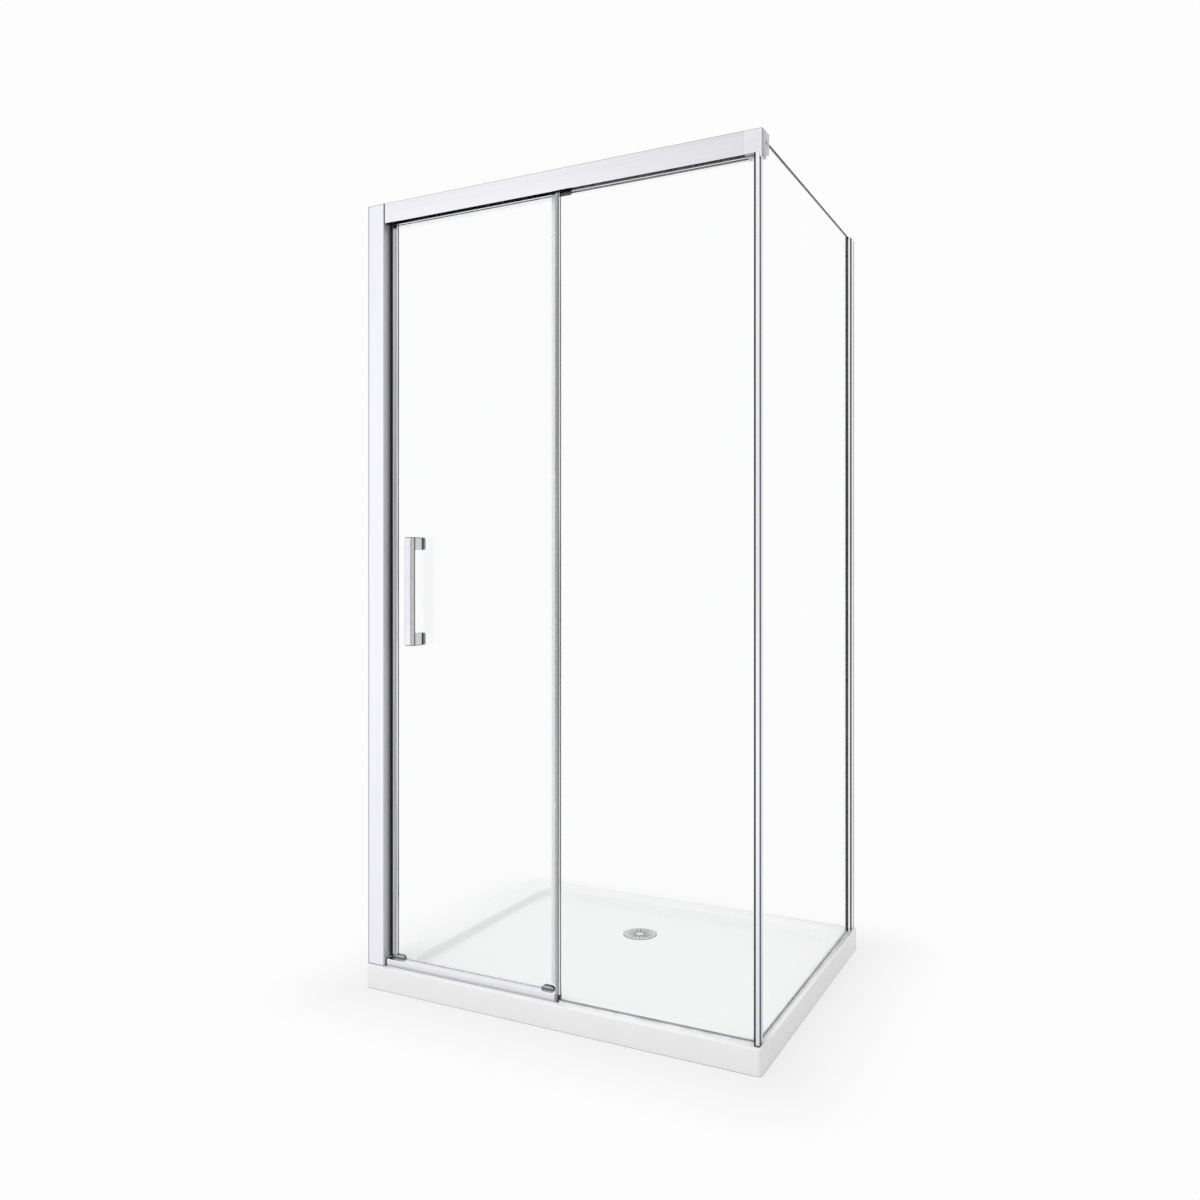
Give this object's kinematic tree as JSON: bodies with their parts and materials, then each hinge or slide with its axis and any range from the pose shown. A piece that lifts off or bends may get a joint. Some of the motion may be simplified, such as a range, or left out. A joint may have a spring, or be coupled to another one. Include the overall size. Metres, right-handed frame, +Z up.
{
  "type": "shower enclosure with sliding door",
  "caption": "Corner shower enclosure on a low tray: framed head rail, sliding glass door with pull handle, fixed front glass and side glass.",
  "frame": {"origin": "centre of the tray's underside, on the floor", "axes": "+X to the right along the front, +Y from the front to the back wall, +Z up"},
  "size_m": [1, 0.81, 1.895],
  "materials": {
    "tray_white": "glossy",
    "polished_aluminium": "polished",
    "mill_aluminium": "satin",
    "chrome": "polished",
    "dark_chrome": "polished",
    "steel": "satin",
    "clear_glass": "clear",
    "black_rubber": "matt",
    "grey_seal": "matt",
    "clear_seal": "translucent",
    "white_nylon": "satin",
    "black_plastic": "matt"
  },
  "bodies": {
    "enclosure": {"shower_tray": "tray_white", "waste_flange": "chrome", "waste_nut": "white_nylon", "wall_channel_left": "mill_aluminium", "wall_post_left": "polished_aluminium", "post_top_cap": "chrome", "frame_screws": "steel", "strike_magnet_seal": "black_rubber", "header_rail": "polished_aluminium", "header_end_bracket": "black_plastic", "door_stops": "black_rubber", "glass_blocks": "black_plastic", "glazing_wedge": "black_rubber", "glass_retainer": "black_plastic", "corner_block": "chrome", "corner_block_screw": "steel", "fixed_glass": "clear_glass", "fixed_edge_profile": "polished_aluminium", "fixed_bottom_seal": "grey_seal", "corner_post": "polished_aluminium", "corner_glazing_bead": "black_rubber", "corner_line_seal": "black_rubber", "side_glass": "clear_glass", "side_bottom_seal": "grey_seal", "side_wall_post": "polished_aluminium", "side_gaskets": "black_rubber", "side_wall_channel": "polished_aluminium", "side_top_cap": "chrome", "threshold_rail": "polished_aluminium", "threshold_end_block": "black_plastic", "threshold_end_cap": "dark_chrome", "floor_guide": "dark_chrome"},
    "door": {"door_glass": "clear_glass", "door_lead_profile": "polished_aluminium", "door_magnet_seal": "black_rubber", "door_trailing_seal": "clear_seal", "door_bottom_sweep": "clear_seal", "door_corner_guide": "dark_chrome", "roller_axles": "steel", "roller_nuts": "chrome", "handle_bar": "chrome", "handle_caps": "chrome"},
    "roller_left": {"roller_wheel_left": "white_nylon"},
    "roller_right": {"roller_wheel_right": "white_nylon"},
    "strainer": {"waste_cover": "chrome"}
  },
  "joints": [
    {"name": "door_slide", "type": "slide", "parent": "enclosure", "child": "door", "axis": [1, 0, 0], "range_m": [0, 0.36]},
    {"name": "roller_left_spin", "type": "hinge", "parent": "door", "child": "roller_left", "pos_m": [-0.395, -0.353, 1.8579], "axis": [0, 1, 0], "range_deg": [0, 2300]},
    {"name": "roller_right_spin", "type": "hinge", "parent": "door", "child": "roller_right", "pos_m": [-0.035, -0.353, 1.8579], "axis": [0, 1, 0], "range_deg": [0, 2300]},
    {"name": "strainer_lift", "type": "slide", "parent": "enclosure", "child": "strainer", "axis": [0, 0, 1], "range_m": [0, 0.03]}
  ],
  "couplings": [
    {"joint": "roller_left_spin", "follows": "door_slide", "rad_per_m": 111.11},
    {"joint": "roller_right_spin", "follows": "door_slide", "rad_per_m": 111.11}
  ]
}
